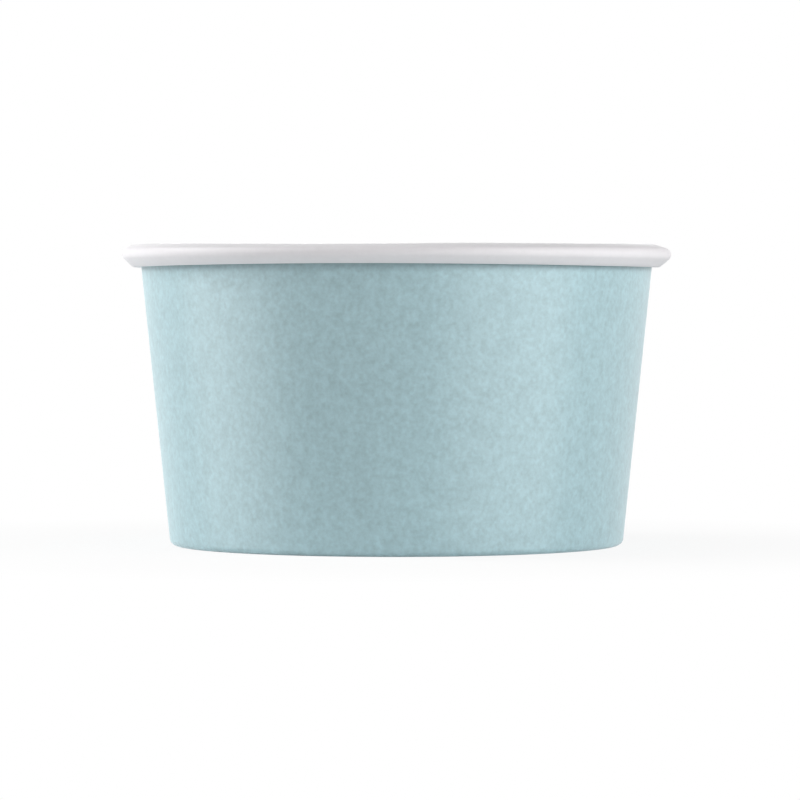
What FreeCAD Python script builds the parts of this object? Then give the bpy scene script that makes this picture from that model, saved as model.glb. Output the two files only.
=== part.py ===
import FreeCAD, Part
import math
import os
import Sketcher

# A small paper dessert cup, in millimetres, standing on the table plane with its axis on Z.
# It is made of two pieces of coated board.
# side_wall: one fan-shaped blank, wrapped to a cone and closed with a lap seam at the back (+Y).
#   Its top edge is rolled outwards into the rim, and its foot is folded in and up as a hem.
# bottom_disc: a round blank with its edge drawn down into a skirt, sealed between wall and hem.

SIZES = [
    ("rim_diameter", 88.0, "across the rolled rim"),
    ("cup_height", 48.0, "table to the top of the rim"),
    ("foot_diameter", 72.8, "across the rounding of the foot"),
    ("wall_board", 0.42, "thickness of the wall's board"),
    ("disc_board", 0.36, "thickness of the disc's board"),
    ("film_gap", 0.02, "melted film between two sealed boards"),
    ("roll_width", 3.3, "rim roll, from the bowl's face to the rim's edge"),
    ("roll_height", 3.0, "rim roll, from its top to its underside"),
    ("crown_bend", 1.05, "rim roll, inside radius over the top"),
    ("brow_slope", 20.0, "rim roll, degrees that its top falls outwards"),
    ("tip_bend", 0.53, "rim roll, inside radius at its widest"),
    ("tuck_bend", 0.36, "rim roll, inside radius where it turns up"),
    ("tuck_gap", 0.12, "tucked edge to the wall"),
    ("tuck_length", 0.5, "straight end of the tucked edge"),
    ("foot_bend", 0.75, "inside radius of the fold under the wall"),
    ("foot_flat", 0.15, "flat ring that the cup stands on"),
    ("hem_bend", 0.15, "inside radius of the fold under the hem"),
    ("seal_bend", 0.6, "inside radius where the hem turns to lie on the skirt"),
    ("seal_height", 2.6, "table to that turn"),
    ("hem_height", 5.6, "table to the hem's cut edge"),
    ("disc_height", 6.8, "table to the disc's upper face"),
    ("disc_bend", 0.55, "inside radius between disc and skirt"),
    ("skirt_edge", 1.5, "table to the skirt's cut edge"),
    ("lap_width", 6.5, "overlap of the side seam"),
    ("lap_step", 0.28, "height of the seam's cut edge above the wall"),
    ("lap_lift", 0.12, "how far the seam's ply fades out above the table"),
]

doc = FreeCAD.newDocument("dessert_cup")
sheet = doc.addObject("Spreadsheet::Sheet", "sizes")
for row, (alias, value, meaning) in enumerate(SIZES, start=1):
    sheet.set(f"A{row}", meaning)
    sheet.set(f"B{row}", str(value))
    sheet.setAlias(f"B{row}", alias)
doc.recompute()
ALIASES = [alias for alias, value, meaning in SIZES]


def bound(formula):
    """The formula as an expression, each size's name pointing at its cell."""
    words = formula.replace("(", "( ").replace(")", " )").split()
    return " ".join("sizes." + word if word in ALIASES else word for word in words)


def now(formula):
    """What the formula comes to with the sheet's present sizes."""
    result = sheet.evalExpression(bound(formula))
    return getattr(result, "Value", result)


# Centres of the bends of the wall's blank, from the foot to the rim.
FOOT_X = "(foot_diameter / 2 - foot_bend - wall_board)"
FOOT_Z = "(foot_bend + wall_board)"
CROWN_X = "(rim_diameter / 2 - roll_width + crown_bend + wall_board)"
CROWN_Z = "(cup_height - crown_bend - wall_board)"

# Direction of the wall, in degrees above the table: the line that touches both bends.
RISE = f"({CROWN_Z} - {FOOT_Z})"
RUN = f"({CROWN_X} - {FOOT_X})"
TURN = "(foot_bend + crown_bend + wall_board)"
LEAN = f"(atan( {RISE} / {RUN} ) + asin( {TURN} / sqrt( {RISE} * {RISE} + {RUN} * {RUN} ) ))"


def beside_wall(offset, height):
    """X of a point at this height, this far outwards from the wall's coated face."""
    start = f"({FOOT_X} * sin( {LEAN} ) - {FOOT_Z} * cos( {LEAN} ) + foot_bend + {offset} )"
    return f"(( {start} + ( {height} ) * cos( {LEAN} ) ) / sin( {LEAN} ))"


HEM_Z = "(hem_bend + wall_board)"
HEM_X = f"({FOOT_X} - foot_flat )"
SEAL_X = beside_wall("(0 - disc_board - 2 * film_gap - wall_board - seal_bend )", "seal_height")
TIP_X = "(rim_diameter / 2 - tip_bend - wall_board)"
TIP_Z = (f"({CROWN_Z} + ( crown_bend - tip_bend - ( {TIP_X} - {CROWN_X} ) * sin( brow_slope ) )"
         " / cos( brow_slope ))")
TUCK_Z = "(cup_height - roll_height + tuck_bend + wall_board)"
TUCK_X = beside_wall("(2 * wall_board + tuck_gap + tuck_bend )", TUCK_Z)

# The disc's one bend, between its flat and its skirt.
DISC_Z = "(disc_height - disc_board - disc_bend )"
DISC_X = beside_wall("(0 - film_gap - disc_board - disc_bend )", DISC_Z)


def outline(body, name, plane):
    """An empty sketch on one of the body's own origin planes."""
    sketch = body.newObject("Sketcher::SketchObject", name)
    support = next(item for item in body.Origin.OriginFeatures if item.Role == plane)
    sketch.AttachmentSupport = [(support, "")]
    sketch.MapMode = "FlatFace"
    return sketch


def hold(sketch, formula, kind, *places):
    """One dimension of the sketch, bound to a formula of the sheet's sizes."""
    value = now(formula)
    if kind == "Angle":
        value = math.radians(value)
    index = sketch.addConstraint(Sketcher.Constraint(kind, *places, value))
    sketch.setExpression(f"Constraints[{index}]", bound(formula))


def unit(heading):
    return FreeCAD.Vector(math.cos(heading), math.sin(heading), 0)


def right_of(heading):
    return FreeCAD.Vector(math.sin(heading), -math.cos(heading), 0)


def heading_between(first, second):
    """Direction of the straight run from one bend to the next, in radians."""
    (x1, z1, side1, radius1), (x2, z2, side2, radius2) = first, second
    run = now(x2) - now(x1)
    rise = now(z2) - now(z1)
    change = side1 * now(radius1) - side2 * now(radius2)
    return math.atan2(rise, run) + math.asin(change / math.hypot(run, rise))


def follow(sketch, bends, first_heading, last_heading, first_length, last_length):
    """Lines and arcs along one face of a board, each line touching the arcs beside it.

    A bend is (x, z, side, radius): side is 1 where the board turns left and -1 where it turns
    right. Returns the numbers of the lines and of the arcs.
    """
    headings = [first_heading, *map(heading_between, bends, bends[1:]), last_heading]
    centres = [FreeCAD.Vector(now(x), now(z), 0) for x, z, side, radius in bends]
    reach = [side * now(radius) for x, z, side, radius in bends]
    lines = []
    for place, heading in enumerate(headings):
        if place > 0:
            begin = centres[place - 1] + right_of(heading) * reach[place - 1]
        if place < len(bends):
            finish = centres[place] + right_of(heading) * reach[place]
        if place == 0:
            begin = finish - unit(heading) * first_length
        if place == len(bends):
            finish = begin + unit(heading) * last_length
        lines.append(sketch.addGeometry(Part.LineSegment(begin, finish)))
    arcs = []
    for place, (x, z, side, radius) in enumerate(bends):
        arriving = headings[place] - side * math.pi / 2
        leaving = headings[place + 1] - side * math.pi / 2
        circle = Part.Circle(centres[place], FreeCAD.Vector(0, 0, 1), abs(reach[place]))
        ends = (arriving, leaving) if side > 0 else (leaving, arriving)
        arc = sketch.addGeometry(Part.ArcOfCircle(circle, *ends))
        arcs.append(arc)
        arrival, departure = (1, 2) if side > 0 else (2, 1)
        sketch.addConstraint(Sketcher.Constraint("Tangent", lines[place], 2, arc, arrival))
        sketch.addConstraint(Sketcher.Constraint("Tangent", arc, departure, lines[place + 1], 1))
        hold(sketch, radius, "Radius", arc)
    return lines, arcs


def close(sketch, first, last):
    """A straight line from the end of one drawn line to the end of another."""
    ends = [sketch.getPoint(*place) for place in (first, last)]
    line = sketch.addGeometry(Part.LineSegment(*ends))
    sketch.addConstraint(Sketcher.Constraint("Coincident", line, 1, *first))
    sketch.addConstraint(Sketcher.Constraint("Coincident", line, 2, *last))
    return line


def spin(body, name, sketch):
    """The sketch turned once round the upright axis."""
    turned = body.newObject("PartDesign::Revolution", name)
    turned.Profile = sketch
    turned.ReferenceAxis = (sketch, ["V_Axis"])
    turned.Angle = 360
    return turned


# The wall's section follows the blank from the hem's cut edge, down and under the foot, up the
# wall and over the rim to the tucked edge. Each bend: its centre, side, and inside radius.
FOOT_BENDS = [
    (SEAL_X, "seal_height", -1, "seal_bend"),
    (HEM_X, HEM_Z, 1, "hem_bend"),
    (FOOT_X, FOOT_Z, 1, "foot_bend"),
]
RIM_BENDS = [
    (CROWN_X, CROWN_Z, -1, "crown_bend"),
    (TIP_X, TIP_Z, -1, "tip_bend"),
    (TUCK_X, TUCK_Z, -1, "tuck_bend"),
]
WALL_BENDS = FOOT_BENDS + RIM_BENDS


def add_seam(body):
    """The second ply of the lap seam, from the hem's cut edge up into the rolled rim."""
    section = outline(body, "seam_section", "YZ_Plane")
    half = "wall_board / 2"
    raised = [
        (SEAL_X, "seal_height", -1, "seal_bend - lap_step"),
        (HEM_X, f"{HEM_Z} + lap_step + lap_lift", 1, "hem_bend + wall_board + lap_step"),
        (FOOT_X, f"{FOOT_Z} + lap_step + lap_lift", 1, "foot_bend + wall_board + lap_step"),
    ]
    buried = [
        (SEAL_X, "seal_height", -1, f"seal_bend + {half}"),
        (HEM_X, HEM_Z, 1, f"hem_bend + {half}"),
        (FOOT_X, FOOT_Z, 1, f"foot_bend + {half}"),
    ]
    lean = math.radians(now(LEAN))
    down = now("hem_height") - now("seal_height")
    up = now(TUCK_Z) - now(FOOT_Z)
    rows = []
    for bends in (raised, buried):
        lines, arcs = follow(section, bends, lean - math.pi, lean, down, up)
        for arc, (x, z, side, radius) in zip(arcs, bends):
            hold(section, x, "DistanceX", -1, 1, arc, 3)
            hold(section, z, "DistanceY", -1, 1, arc, 3)
        hold(section, LEAN, "Angle", lines[-1])
        section.addConstraint(Sketcher.Constraint("Parallel", lines[0], lines[-1]))
        rows.append(lines)
    face, core = rows
    hem_edge = close(section, (face[0], 1), (core[0], 1))
    top_edge = close(section, (core[-1], 2), (face[-1], 2))
    for edge in (hem_edge, top_edge):
        section.addConstraint(Sketcher.Constraint("Perpendicular", face[-1], edge))
    hold(section, f"hem_height - {half} * cos( {LEAN} )", "DistanceY", -1, 1, core[0], 1)
    hold(section, TUCK_Z, "DistanceY", -1, 1, face[-1], 2)
    seam = spin(body, "seam_turn", section)
    seam.setExpression("Angle", bound("lap_width / (( rim_diameter + foot_diameter ) / 4) * 180 / pi"))
    seam.Midplane = True


def build_side_wall():
    body = doc.addObject("PartDesign::Body", "side_wall")
    section = outline(body, "wall_section", "XZ_Plane")
    lean = math.radians(now(LEAN))
    down = now("hem_height") - now("seal_height")
    rows = []
    for coated in (True, False):
        bends = []
        for x, z, side, inside in WALL_BENDS:
            within = (side > 0) == coated
            bends.append((x, z, side, inside if within else f"({inside} + wall_board)"))
        rows.append(follow(section, bends, lean - math.pi, lean - 2 * math.pi, down, now("tuck_length")))
    (coated_lines, coated_arcs), (printed_lines, printed_arcs) = rows
    for inner, outer in zip(coated_arcs, printed_arcs):
        section.addConstraint(Sketcher.Constraint("Coincident", inner, 3, outer, 3))
    for arc, (x, z, side, inside) in zip(coated_arcs, WALL_BENDS):
        hold(section, x, "DistanceX", -1, 1, arc, 3)
        hold(section, z, "DistanceY", -1, 1, arc, 3)
    wall = coated_lines[len(FOOT_BENDS)]
    for line in (coated_lines[0], printed_lines[0], coated_lines[-1], printed_lines[-1]):
        section.addConstraint(Sketcher.Constraint("Parallel", wall, line))
    hem_edge = close(section, (printed_lines[0], 1), (coated_lines[0], 1))
    tuck_edge = close(section, (coated_lines[-1], 2), (printed_lines[-1], 2))
    for edge in (hem_edge, tuck_edge):
        section.addConstraint(Sketcher.Constraint("Perpendicular", wall, edge))
    hold(section, "hem_height", "DistanceY", -1, 1, printed_lines[0], 1)
    hold(section, "tuck_length", "Distance", coated_lines[-1])
    spin(body, "wall_turn", section)
    add_seam(body)
    return body


def build_bottom_disc():
    body = doc.addObject("PartDesign::Body", "bottom_disc")
    section = outline(body, "disc_section", "XZ_Plane")
    down = math.radians(now(LEAN)) - math.pi
    rows = []
    for radius in ("(disc_bend + disc_board)", "disc_bend"):
        bends = [(DISC_X, DISC_Z, -1, radius)]
        lines, arcs = follow(section, bends, 0, down, now(DISC_X), now(DISC_Z) - now("skirt_edge"))
        section.addConstraint(Sketcher.Constraint("Horizontal", lines[0]))
        section.addConstraint(Sketcher.Constraint("PointOnObject", lines[0], 1, -2))
        rows.append((lines, arcs[0]))
    (face, outer), (under, inner) = rows
    section.addConstraint(Sketcher.Constraint("Coincident", inner, 3, outer, 3))
    hold(section, DISC_X, "DistanceX", -1, 1, outer, 3)
    hold(section, DISC_Z, "DistanceY", -1, 1, outer, 3)
    hold(section, f"{LEAN} - 180 deg", "Angle", face[1])
    section.addConstraint(Sketcher.Constraint("Parallel", face[1], under[1]))
    close(section, (under[0], 1), (face[0], 1))
    skirt_edge = close(section, (face[1], 2), (under[1], 2))
    section.addConstraint(Sketcher.Constraint("Perpendicular", face[1], skirt_edge))
    hold(section, "skirt_edge", "DistanceY", -1, 1, face[1], 2)
    spin(body, "disc_turn", section)
    return body


pieces = [build_side_wall(), build_bottom_disc()]
doc.recompute()

for item in doc.Objects:
    if "Invalid" in item.State or "Error" in item.State:
        raise RuntimeError(f"{item.Label} did not build: {item.State}")
    if item.isDerivedFrom("Sketcher::SketchObject") and not item.FullyConstrained:
        raise RuntimeError(f"{item.Label} is not fully constrained")

os.makedirs("parts", exist_ok=True)
for body in pieces:
    body.Placement = FreeCAD.Placement(FreeCAD.Vector(0, 0, 0), FreeCAD.Rotation(0, 0, 0))
    if body.Shape.isNull() or not body.Shape.isValid():
        raise RuntimeError(f"{body.Label} has no valid shape")
    body.Shape.exportStep(f"parts/{body.Label}.step")
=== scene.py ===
import bpy
import bmesh
import math
from mathutils import Matrix, Vector


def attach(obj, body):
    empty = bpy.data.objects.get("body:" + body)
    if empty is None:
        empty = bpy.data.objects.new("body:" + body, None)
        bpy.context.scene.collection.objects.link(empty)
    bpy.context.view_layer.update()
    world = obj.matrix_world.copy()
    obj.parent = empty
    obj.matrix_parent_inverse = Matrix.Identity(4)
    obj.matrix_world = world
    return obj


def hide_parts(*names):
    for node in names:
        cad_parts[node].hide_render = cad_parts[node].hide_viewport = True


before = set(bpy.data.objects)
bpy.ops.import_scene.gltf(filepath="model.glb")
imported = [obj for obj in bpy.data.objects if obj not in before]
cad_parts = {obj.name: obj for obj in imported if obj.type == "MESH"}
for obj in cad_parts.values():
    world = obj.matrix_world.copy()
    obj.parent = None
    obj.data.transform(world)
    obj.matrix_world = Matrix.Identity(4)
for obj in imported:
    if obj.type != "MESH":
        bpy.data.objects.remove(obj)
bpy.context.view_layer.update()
mm = 0.001
sharpAngle = 35      # degrees; edges flatter than this are shaded soft


# A blank is drawn as a strip one board thick in the XZ plane, then swept round the cup's axis.
# Headings are in degrees in that plane. A station is one line across the strip, coated to printed.

def towards(heading):
    return Vector((math.cos(math.radians(heading)), 0, math.sin(math.radians(heading))))


def ease(value):      # smooth step from 0 to 1
    value = min(max(value, 0), 1)
    return value * value * (3 - 2 * value)


def startStrip(bm, heading, coatedAt, board):
    # the blank's first cut edge: its coated face is on the left, its printed face on the right
    printed = bm.verts.layers.int["printed"]
    ends = [bm.verts.new(coatedAt), bm.verts.new(coatedAt + towards(heading - 90) * board)]
    ends[1][printed] = 1
    return [bm.edges.new(ends)]


def coatedPoint(bm, station):
    printed = bm.verts.layers.int["printed"]
    return min(station.verts, key=lambda vert: vert[printed]).co


def newStation(geometry):
    return next(item for item in geometry if isinstance(item, bmesh.types.BMEdge))


def runStraight(bm, stations, move, steps):
    for step in range(steps):
        grown = bmesh.ops.extrude_edge_only(bm, edges=stations[-1:])
        stations.append(newStation(grown["geom"]))
        bmesh.ops.translate(bm, verts=list(stations[-1].verts), vec=move / steps)


def runBend(bm, stations, bend, degrees):
    for step in range(bend["steps"]):
        last = stations[-1]
        turned = bmesh.ops.spin(bm, geom=[last, *last.verts], cent=(bend["x"], 0, bend["z"]),
                                axis=(0, -1, 0), angle=math.radians(degrees / bend["steps"]), steps=1)
        stations.append(newStation(turned["geom_last"]))


def drawBlank(bm, first, bends, headings, spans, lastRun, board):
    # through all the bends and straight between them; spans are the steps of the straight runs
    bm.verts.layers.int.new("printed")
    stations = startStrip(bm, headings[0], first, board)
    for bend, arriving, leaving, span in zip(bends, headings, headings[1:], spans):
        reach = bend["coated"] * bend["side"]
        entry = Vector((bend["x"], 0, bend["z"])) + towards(arriving - 90) * reach
        runStraight(bm, stations, entry - coatedPoint(bm, stations[-1]), span)
        runBend(bm, stations, bend, leaving - arriving)
    runStraight(bm, stations, towards(headings[-1]) * lastRun, spans[-1])
    return stations


def finishMesh(bm, name, finishes):
    # finishes are for faces all printed, all coated, and cut through the board
    printed = bm.verts.layers.int["printed"]
    bmesh.ops.scale(bm, verts=bm.verts[:], vec=(mm, mm, mm))
    bmesh.ops.recalc_face_normals(bm, faces=bm.faces[:])
    for face in bm.faces:
        marks = {vert[printed] for vert in face.verts}
        face.material_index = 2 if len(marks) > 1 else 1 - marks.pop()
        face.smooth = True
    for edge in bm.edges:
        edge.smooth = len(edge.link_faces) == 2 and edge.calc_face_angle() < math.radians(sharpAngle)
    mesh = bpy.data.meshes.new(name)
    bm.to_mesh(mesh)
    bm.free()
    for finish in finishes:
        mesh.materials.append(finish)
    piece = bpy.data.objects.new(name, mesh)
    bpy.context.scene.collection.objects.link(piece)
    print(name, len(mesh.polygons), "faces")
    return piece


# Finishes. Colours are linear; sizes of the grain and of the painted shade under the roll are in
# millimetres.

boardFinishes = {
    "printedBoard": {
        "colour": (0.377, 0.549, 0.590),
        "roughness": 0.45,
        "specular": 1.0,
        "mottle": 0.135,
        "grain": 0.75,
        "bump": 0.02,
        "brushed": {"strength": 0.85, "turn": 0.25},
        "paintedShade": {"top": 45.0, "reach": 1.4, "darker": 0.28},      # painted shade under the roll; its top is the roll's underside
    },
    "coatedBoard": {
        "colour": (0.86, 0.842, 0.862),
        "roughness": 0.5,
        "specular": 0.25,
        "mottle": 0.015,
        "grain": 0.9,
        "bump": 0.010,
    },
    "cutBoard": {
        "colour": (0.80, 0.78, 0.73),
        "roughness": 0.85,
        "specular": 0.4,
        "mottle": 0.08,
        "grain": 0.25,
        "bump": 0.02,
    },
}

# the mottle of every board: fine fibres with wider clouds added at a share
mottle = {
    "fibreDetail": 3,
    "fibreRoughness": 0.6,
    "cloudSize": 2.6,      # times the grain
    "cloudDetail": 2,
    "cloudShare": 0.5,
    "darkAt": 0.5,
    "lightAt": 1.0,
}


def addNode(tree, kind, inputs, **settings):
    node = tree.nodes.new(kind)
    for name, value in settings.items():
        setattr(node, name, value)
    for socket, value in inputs.items():
        if isinstance(value, bpy.types.NodeSocket):
            tree.links.new(value, node.inputs[socket])
        else:
            node.inputs[socket].default_value = value
    return node


def makeBoardFinish(name):
    look = boardFinishes[name]
    material = bpy.data.materials.new(name)
    material.use_nodes = True
    tree = material.node_tree
    shader = tree.nodes["Principled BSDF"]
    place = addNode(tree, "ShaderNodeTexCoord", {}).outputs["Object"]
    perGrain = 1 / (look["grain"] * mm)
    fibres = addNode(tree, "ShaderNodeTexNoise", {
        "Vector": place, "Scale": perGrain,
        "Detail": mottle["fibreDetail"], "Roughness": mottle["fibreRoughness"]})
    clouds = addNode(tree, "ShaderNodeTexNoise", {
        "Vector": place, "Scale": perGrain / mottle["cloudSize"], "Detail": mottle["cloudDetail"]})
    blend = addNode(tree, "ShaderNodeMath", {
        0: clouds.outputs["Fac"], 1: mottle["cloudShare"], 2: fibres.outputs["Fac"]},
        operation="MULTIPLY_ADD")
    level = addNode(tree, "ShaderNodeMapRange", {
        "Value": blend.outputs["Value"], "From Min": mottle["darkAt"], "From Max": mottle["lightAt"],
        "To Min": 1 - look["mottle"], "To Max": 1 + look["mottle"]})
    tint = addNode(tree, "ShaderNodeVectorMath", {0: look["colour"], "Scale": level.outputs["Result"]},
                   operation="SCALE").outputs["Vector"]
    if "paintedShade" in look:      # painted shade: the print's colour is darkened just below the roll, where the roll's shadow falls on the wall
        paintedShade = look["paintedShade"]
        up = addNode(tree, "ShaderNodeSeparateXYZ", {"Vector": place}).outputs["Z"]
        top = paintedShade["top"] * mm
        shade = addNode(tree, "ShaderNodeMapRange", {
            "Value": up, "From Min": top - paintedShade["reach"] * mm, "From Max": top,
            "To Min": 1.0, "To Max": 1 - paintedShade["darker"]})
        tint = addNode(tree, "ShaderNodeVectorMath", {0: tint, "Scale": shade.outputs["Result"]},
                       operation="SCALE").outputs["Vector"]
    tree.links.new(tint, shader.inputs["Base Color"])
    ripple = addNode(tree, "ShaderNodeBump", {
        "Height": fibres.outputs["Fac"], "Strength": 1.0, "Distance": look["bump"] * mm})
    tree.links.new(ripple.outputs["Normal"], shader.inputs["Normal"])
    shader.inputs["Roughness"].default_value = look["roughness"]
    shader.inputs["Specular IOR Level"].default_value = look["specular"]
    if "brushed" in look:      # the sheen spreads up and down the wall
        roundTheCup = addNode(tree, "ShaderNodeTangent", {}, direction_type="RADIAL", axis="Z")
        tree.links.new(roundTheCup.outputs["Tangent"], shader.inputs["Tangent"])
        shader.inputs["Anisotropic"].default_value = look["brushed"]["strength"]
        shader.inputs["Anisotropic Rotation"].default_value = look["brushed"]["turn"]
    return material


printedBoard = makeBoardFinish("printedBoard")
coatedBoard = makeBoardFinish("coatedBoard")
cutBoard = makeBoardFinish("cutBoard")
print("finishes made")


# Side wall: one blank from the hem, under the foot, up the wall and round the rim's roll. It goes
# once round the cup and on over its own beginning, which is the lap seam at the back.
# Sizes are in millimetres, angles in degrees.

wall = {
    "rimRadius": 44.0,
    "height": 48.0,
    "footRadius": 36.4,
    "board": 0.42,
    "rollWidth": 3.3,
    "rollHeight": 3.0,
    "crownBend": 1.05,      # bends are inside radii
    "browSlope": 22,
    "tipBend": 0.45,
    "tuckBend": 0.3,
    "tuckGap": 0.15,
    "tuckRun": 0.5,
    "footBend": 0.75,
    "footFlat": 0.15,
    "hemBend": 0.15,
    "sealBend": 0.6,
    "sealFoot": 2.6,
    "hemTop": 5.6,
    "sealGap": 0.40,
    "bendSteps": {"seal": 4, "hem": 6, "foot": 8, "crown": 12, "tip": 10, "tuck": 8},
    "spans": [2, 2, 1, 8, 2, 3, 2],
    "lapAngle": 9.6,
    "pressed": 0.35,      # thickness of each ply in the lap
    "lapAir": 0.01,      # left between the two plies
    "climb": 1.7,      # angle in which a ply comes to its place in the lap
    "shoulder": 3.0,      # angle in which the bulge beside the lap runs out
    "bulgeUpBelow": 3,      # under this height the lap thickens upwards, so the foot stays flat
    "rimBulge": 0.6,      # share of the lap that stands out on the coated side of the rim
    "rimBulgeFrom": 44,
    "rimBulgeOver": 2.2,
    "tuckBulge": 1.7,      # taken off that share round the tuck
    "fineStep": 0.25,
    "coarseStep": 1.2,
    "rimRise": 0.05,
    "rimWaves": [(1, 0.02, -83), (2, 0.032, -84), (3, 0.042, 113), (5, 0.049, 162), (8, 0.015, -49)],
    "waveFrom": 38,      # height where the waves begin
    "waveOver": 8,
    "dip": 0.3,
    "dipAt": 277,
    "dipReach": 22,
    "sag": 0.52,      # of the roll's underside at the cup's two sides
    "sagAt": 8,
}


def makeBend(x, z, inside, side):
    # side 1 turns left and has the coated face inside, side -1 turns right and has it outside
    return {"x": x, "z": z, "side": side, "coated": inside + (wall["board"] if side < 0 else 0)}


def headingBetween(first, second):
    # of the straight run that leaves one bend and meets the next
    run, rise = second["x"] - first["x"], second["z"] - first["z"]
    change = (first["coated"] * first["side"] - second["coated"] * second["side"]) / math.hypot(run, rise)
    return math.degrees(math.atan2(rise, run) + math.asin(change))


def beside(foot, lean, offset, z):
    # x of a point this far outside the wall's coated face
    across = towards(lean - 90)
    start = foot["x"] * across.x + foot["z"] * across.z + foot["coated"] + offset
    return (start - z * across.z) / across.x


def wallCourse():
    # the bends of the wall's blank in order, and the headings before, between and after them
    board, top = wall["board"], wall["height"]
    foot = makeBend(wall["footRadius"] - wall["footBend"] - board, wall["footBend"] + board,
                    wall["footBend"], 1)
    crown = makeBend(wall["rimRadius"] - wall["rollWidth"] + wall["crownBend"] + board,
                     top - wall["crownBend"] - board, wall["crownBend"], -1)
    lean = headingBetween(foot, crown)
    hem = makeBend(foot["x"] - wall["footFlat"], wall["hemBend"] + board, wall["hemBend"], 1)
    seal = makeBend(beside(foot, lean, -wall["sealGap"] - wall["sealBend"] - board, wall["sealFoot"]),
                    wall["sealFoot"], wall["sealBend"], -1)
    tip = makeBend(wall["rimRadius"] - wall["tipBend"] - board, 0, wall["tipBend"], -1)
    fall = math.radians(wall["browSlope"])
    drop = (crown["coated"] - tip["coated"] - (tip["x"] - crown["x"]) * math.sin(fall)) / math.cos(fall)
    tip["z"] = crown["z"] + drop
    tuckZ = top - wall["rollHeight"] + wall["tuckBend"] + board
    tuck = makeBend(beside(foot, lean, 2 * board + wall["tuckGap"] + wall["tuckBend"], tuckZ), tuckZ,
                    wall["tuckBend"], -1)
    bends = [seal, hem, foot, crown, tip, tuck]
    for bend, steps in zip(bends, wall["bendSteps"].values()):
        bend["steps"] = steps
    headings = [lean - 180, headingBetween(seal, hem), 0, lean, -wall["browSlope"],
                headingBetween(tip, tuck), lean - 360]
    return bends, headings


def acrossTheLap(isPrinted, turn):
    # how far a face is pushed through the board, coated to printed, at a turn in degrees
    lap, board, pressed = wall["lapAngle"], wall["board"], wall["pressed"]
    if turn < lap + wall["shoulder"]:
        thinned = 1 - ease((turn - lap) / wall["climb"])
        return (pressed - board) * thinned if isPrinted else 0
    climbed = ease((turn - 360 + wall["climb"]) / wall["climb"])
    return (2 * pressed - board if isPrinted else pressed + wall["lapAir"]) * climbed


def makeSideWall():
    bends, headings = wallCourse()
    bm = bmesh.new()
    foot, tuck, lean = bends[2], bends[-1], headings[3]
    first = Vector((beside(foot, lean, -wall["sealGap"], wall["hemTop"]), 0, wall["hemTop"]))
    stations = drawBlank(bm, first, bends, headings, wall["spans"], wall["tuckRun"], wall["board"])
    printed = bm.verts.layers.int["printed"]
    lift = bm.verts.layers.float_vector.new("lift")      # through the board, coated to printed
    bulge = bm.verts.layers.float.new("bulge")      # share of the lap that stands out on the coated side
    hang = bm.verts.layers.float.new("hang")      # how far down the outside of the roll, 0 at its top
    turn = bm.verts.layers.float.new("turn")      # degrees round the cup from the blank's first edge
    tuckStart = len(stations) - wall["spans"][-1] - tuck["steps"]
    heights = [coatedPoint(bm, station).z for station in stations]
    crownTop = heights.index(max(heights))
    for place, station in enumerate(stations):
        coatedVert, printedVert = sorted(station.verts, key=lambda vert: vert[printed])
        through = (printedVert.co - coatedVert.co).normalized()
        height = coatedVert.co.z
        if height < wall["bulgeUpBelow"]:
            share = max(0, -through.z)
        else:
            share = wall["rimBulge"] * ease((height - wall["rimBulgeFrom"]) / wall["rimBulgeOver"])
        if place >= tuckStart:
            share = wall["rimBulge"] - wall["tuckBulge"] * ease((place - tuckStart) / tuck["steps"])
        for vert in station.verts:
            vert[lift] = through
            vert[bulge] = share
            vert[hang] = (wall["height"] - height) / wall["rollHeight"] if place > crownTop else 0

    # fine steps near the lap's two cut edges, coarse ones elsewhere
    fine = wall["lapAngle"] + wall["shoulder"]
    reached = 0
    last = bm.faces[:] + bm.edges[:] + bm.verts[:]
    for degrees, step in ((fine, wall["fineStep"]),
                          (360 - wall["shoulder"] - fine, wall["coarseStep"]),
                          (fine, wall["fineStep"])):
        known = set(bm.verts)
        spun = bmesh.ops.spin(bm, geom=last, cent=(0, 0, 0), axis=(0, 0, 1),
                              angle=math.radians(degrees), steps=round(degrees / step))
        last = spun["geom_last"]
        for vert in bm.verts:
            if vert not in known:
                vert[turn] = reached + (math.degrees(math.atan2(vert.co.y, vert.co.x)) - reached) % 360
        reached += degrees

    # lay the lap's plies over each other, then give the rim its waves and the roll its sag
    lapBulge = 2 * wall["pressed"] - wall["board"]
    for vert in bm.verts:
        at = vert[turn]
        outside = min(abs(at - wall["lapAngle"]) if at > wall["lapAngle"] else 0, max(0, 360 - at))
        near = 1 - ease(outside / wall["shoulder"])
        push = acrossTheLap(vert[printed] == 1, at) - vert[bulge] * lapBulge * near
        through = Matrix.Rotation(math.radians(at), 3, "Z") @ Vector(vert[lift])
        vert.co += through * push
        wave = wall["rimRise"] + sum(size * math.sin(math.radians(count * at + start))
                                     for count, size, start in wall["rimWaves"])
        wave -= wall["dip"] * (1 - ease(abs(at - wall["dipAt"]) / wall["dipReach"]))
        sag = wall["sag"] * math.sin(math.radians(at - wall["lapAngle"] / 2 + wall["sagAt"])) ** 2
        rising = ease((vert.co.z - wall["waveFrom"]) / wall["waveOver"])
        vert.co.z += wave * rising * (1 - vert[hang]) - sag * vert[hang]
    bmesh.ops.rotate(bm, verts=bm.verts[:], cent=(0, 0, 0),
                     matrix=Matrix.Rotation(math.radians(90 - wall["lapAngle"] / 2), 3, "Z"))
    return finishMesh(bm, "cupWall", [printedBoard, coatedBoard, cutBoard])


cupWall = makeSideWall()


# Bottom: a round blank drawn down at its edge into a skirt between wall and hem.

disc = {
    "face": 6.8,
    "board": 0.36,
    "bend": 0.55,
    "skirtEnd": 1.5,
    "film": 0.02,      # gap to the wall's coated face
    "dome": 0.25,
    "steps": 8,
    "spans": [14, 4],
    "around": 240,
    "onAxis": 1e-6,
    "mergeWithin": 0.001,
}


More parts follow.
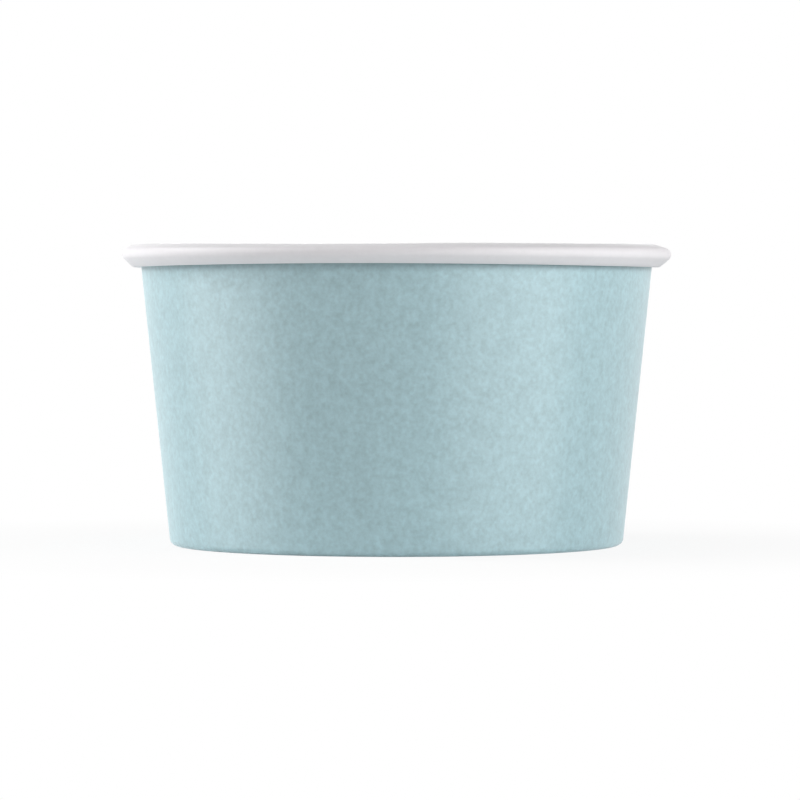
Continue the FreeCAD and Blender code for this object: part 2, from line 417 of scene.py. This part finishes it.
def makeBottomDisc():
    bends, headings = wallCourse()
    foot, lean = bends[2], headings[3]
    reach = disc["bend"] + disc["board"]
    z = disc["face"] - reach
    bend = {"x": beside(foot, lean, -disc["film"] - reach, z), "z": z, "coated": reach, "side": -1,
            "steps": disc["steps"]}
    bm = bmesh.new()
    skirt = (z - disc["skirtEnd"]) / math.sin(math.radians(lean))
    drawBlank(bm, Vector((0, 0, disc["face"])), [bend], [0, lean - 180], disc["spans"], skirt,
              disc["board"])
    # only the strip's outline is spun, without its edge on the axis
    bmesh.ops.delete(bm, geom=bm.faces[:], context="FACES_KEEP_BOUNDARY")
    middle = [edge for edge in bm.edges if all(abs(vert.co.x) < disc["onAxis"] for vert in edge.verts)]
    bmesh.ops.delete(bm, geom=middle, context="EDGES")
    bmesh.ops.spin(bm, geom=bm.edges[:] + bm.verts[:], cent=(0, 0, 0), axis=(0, 0, 1), angle=math.tau,
                   steps=disc["around"], use_merge=True)
    bmesh.ops.remove_doubles(bm, verts=bm.verts[:], dist=disc["mergeWithin"])
    for vert in bm.verts:
        out = math.hypot(vert.co.x, vert.co.y) / bend["x"]
        vert.co.z -= disc["dome"] * (1 - ease(out))
    return finishMesh(bm, "cupBottom", [coatedBoard, coatedBoard, cutBoard])


cupBottom = makeBottomDisc()

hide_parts("side_wall")
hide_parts("bottom_disc")
for piece, slot in ((cupWall, "printed_board"), (cupBottom, "white_board")):
    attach(piece, "root")
print("pieces made")


# Studio: pale floor, soft lamps, camera a little below the rim. Sizes and places are in metres.

studio = {
    "ambient": 0.0,
    "floorColour": (0.94, 0.94, 0.94),
    "floorWhite": 0.88,      # how white the floor looks at the cup
    "floorSize": 3.0,
    "fadeFrom": 0.04,      # distances from the middle in which the floor turns white
    "fadeTo": 0.1,
    "cameraAt": (0, -0.761, 0.042),
    "lookAt": (0.00055, 0, 0.0232),
    "lens": 213.3,
    "sensor": 36,
    "lampsAim": (0, 0, 0.024),
    "lamps": [
        {"name": "leftHighLamp", "azimuth": -99, "height": 30, "distance": 0.8, "size": 0.5, "power": 5.0},
        {"name": "leftLamp", "azimuth": -68, "height": 18, "distance": 0.8, "size": 0.4, "power": 1.1},
        {"name": "frontLamp", "azimuth": 40, "height": 19, "distance": 0.8, "size": 0.5, "power": 2.05},
        {"name": "rightLamp", "azimuth": 70, "height": 20, "distance": 0.8, "size": 0.5, "power": 2.9},
        {"name": "backLamp", "azimuth": 180, "height": 20, "distance": 0.8, "size": 0.4, "power": 1.0},
    ],
}


def addLamp(lamp):
    data = bpy.data.lights.new(lamp["name"], "AREA")
    data.shape = "DISK"
    data.size = lamp["size"]
    data.energy = lamp["power"]
    item = bpy.data.objects.new(lamp["name"], data)
    bpy.context.scene.collection.objects.link(item)
    turn, climb = math.radians(lamp["azimuth"]), math.radians(lamp["height"])
    aim = Vector((math.sin(turn) * math.cos(climb), -math.cos(turn) * math.cos(climb), math.sin(climb)))
    item.location = Vector(studio["lampsAim"]) + aim * lamp["distance"]
    item.rotation_euler = aim.to_track_quat("Z", "Y").to_euler()


def seenAsWhite(tree, plain, white):
    # white to the camera, in reflections and through glass, plain to everything else
    rays = addNode(tree, "ShaderNodeLightPath", {})
    either = addNode(tree, "ShaderNodeMath", {
        0: rays.outputs["Is Camera Ray"], 1: rays.outputs["Is Glossy Ray"]}, operation="MAXIMUM")
    seen = addNode(tree, "ShaderNodeMath", {
        0: either.outputs["Value"], 1: rays.outputs["Is Transmission Ray"]}, operation="MAXIMUM")
    mixed = addNode(tree, "ShaderNodeMixShader", {0: seen.outputs["Value"], 1: plain, 2: white})
    return mixed.outputs[0]


def makeWorld(scene):
    world = bpy.data.worlds.new("studio")
    world.use_nodes = True
    scene.world = world
    tree = world.node_tree
    tree.nodes.clear()
    plain = addNode(tree, "ShaderNodeBackground", {"Color": (1, 1, 1, 1), "Strength": studio["ambient"]})
    white = addNode(tree, "ShaderNodeBackground", {"Color": (1, 1, 1, 1), "Strength": 1.0})
    mixed = seenAsWhite(tree, plain.outputs[0], white.outputs[0])
    addNode(tree, "ShaderNodeOutputWorld", {"Surface": mixed})


def makeFloorPaper():
    paper = bpy.data.materials.new("floorPaper")
    paper.use_nodes = True
    tree = paper.node_tree
    tree.nodes.clear()
    matte = addNode(tree, "ShaderNodeBsdfDiffuse", {"Color": (*studio["floorColour"], 1)})
    glow = addNode(tree, "ShaderNodeEmission", {"Color": (1, 1, 1, 1), "Strength": 1.0})
    place = addNode(tree, "ShaderNodeTexCoord", {}).outputs["Object"]
    away = addNode(tree, "ShaderNodeVectorMath", {0: place}, operation="LENGTH")
    fade = addNode(tree, "ShaderNodeMapRange", {
        "Value": away.outputs["Value"], "From Min": studio["fadeFrom"], "From Max": studio["fadeTo"],
        "To Min": studio["floorWhite"], "To Max": 1.0})
    pale = addNode(tree, "ShaderNodeMixShader", {
        0: fade.outputs["Result"], 1: matte.outputs[0], 2: glow.outputs[0]})
    mixed = seenAsWhite(tree, matte.outputs[0], pale.outputs[0])
    addNode(tree, "ShaderNodeOutputMaterial", {"Surface": mixed})
    return paper


def makeStudio():
    scene = bpy.context.scene
    scene.view_settings.view_transform = "Standard"
    makeWorld(scene)

    bm = bmesh.new()
    bmesh.ops.create_grid(bm, x_segments=1, y_segments=1, size=studio["floorSize"])
    mesh = bpy.data.meshes.new("floor")
    bm.to_mesh(mesh)
    bm.free()
    floor = bpy.data.objects.new("floor", mesh)
    scene.collection.objects.link(floor)
    mesh.materials.append(makeFloorPaper())

    for lamp in studio["lamps"]:
        addLamp(lamp)

    data = bpy.data.cameras.new("camera")
    data.lens = studio["lens"]
    data.sensor_width = studio["sensor"]
    camera = bpy.data.objects.new("camera", data)
    scene.collection.objects.link(camera)
    camera.location = studio["cameraAt"]
    away = Vector(studio["cameraAt"]) - Vector(studio["lookAt"])
    camera.rotation_euler = away.to_track_quat("Z", "Y").to_euler()
    scene.camera = camera


makeStudio()
print("studio made")
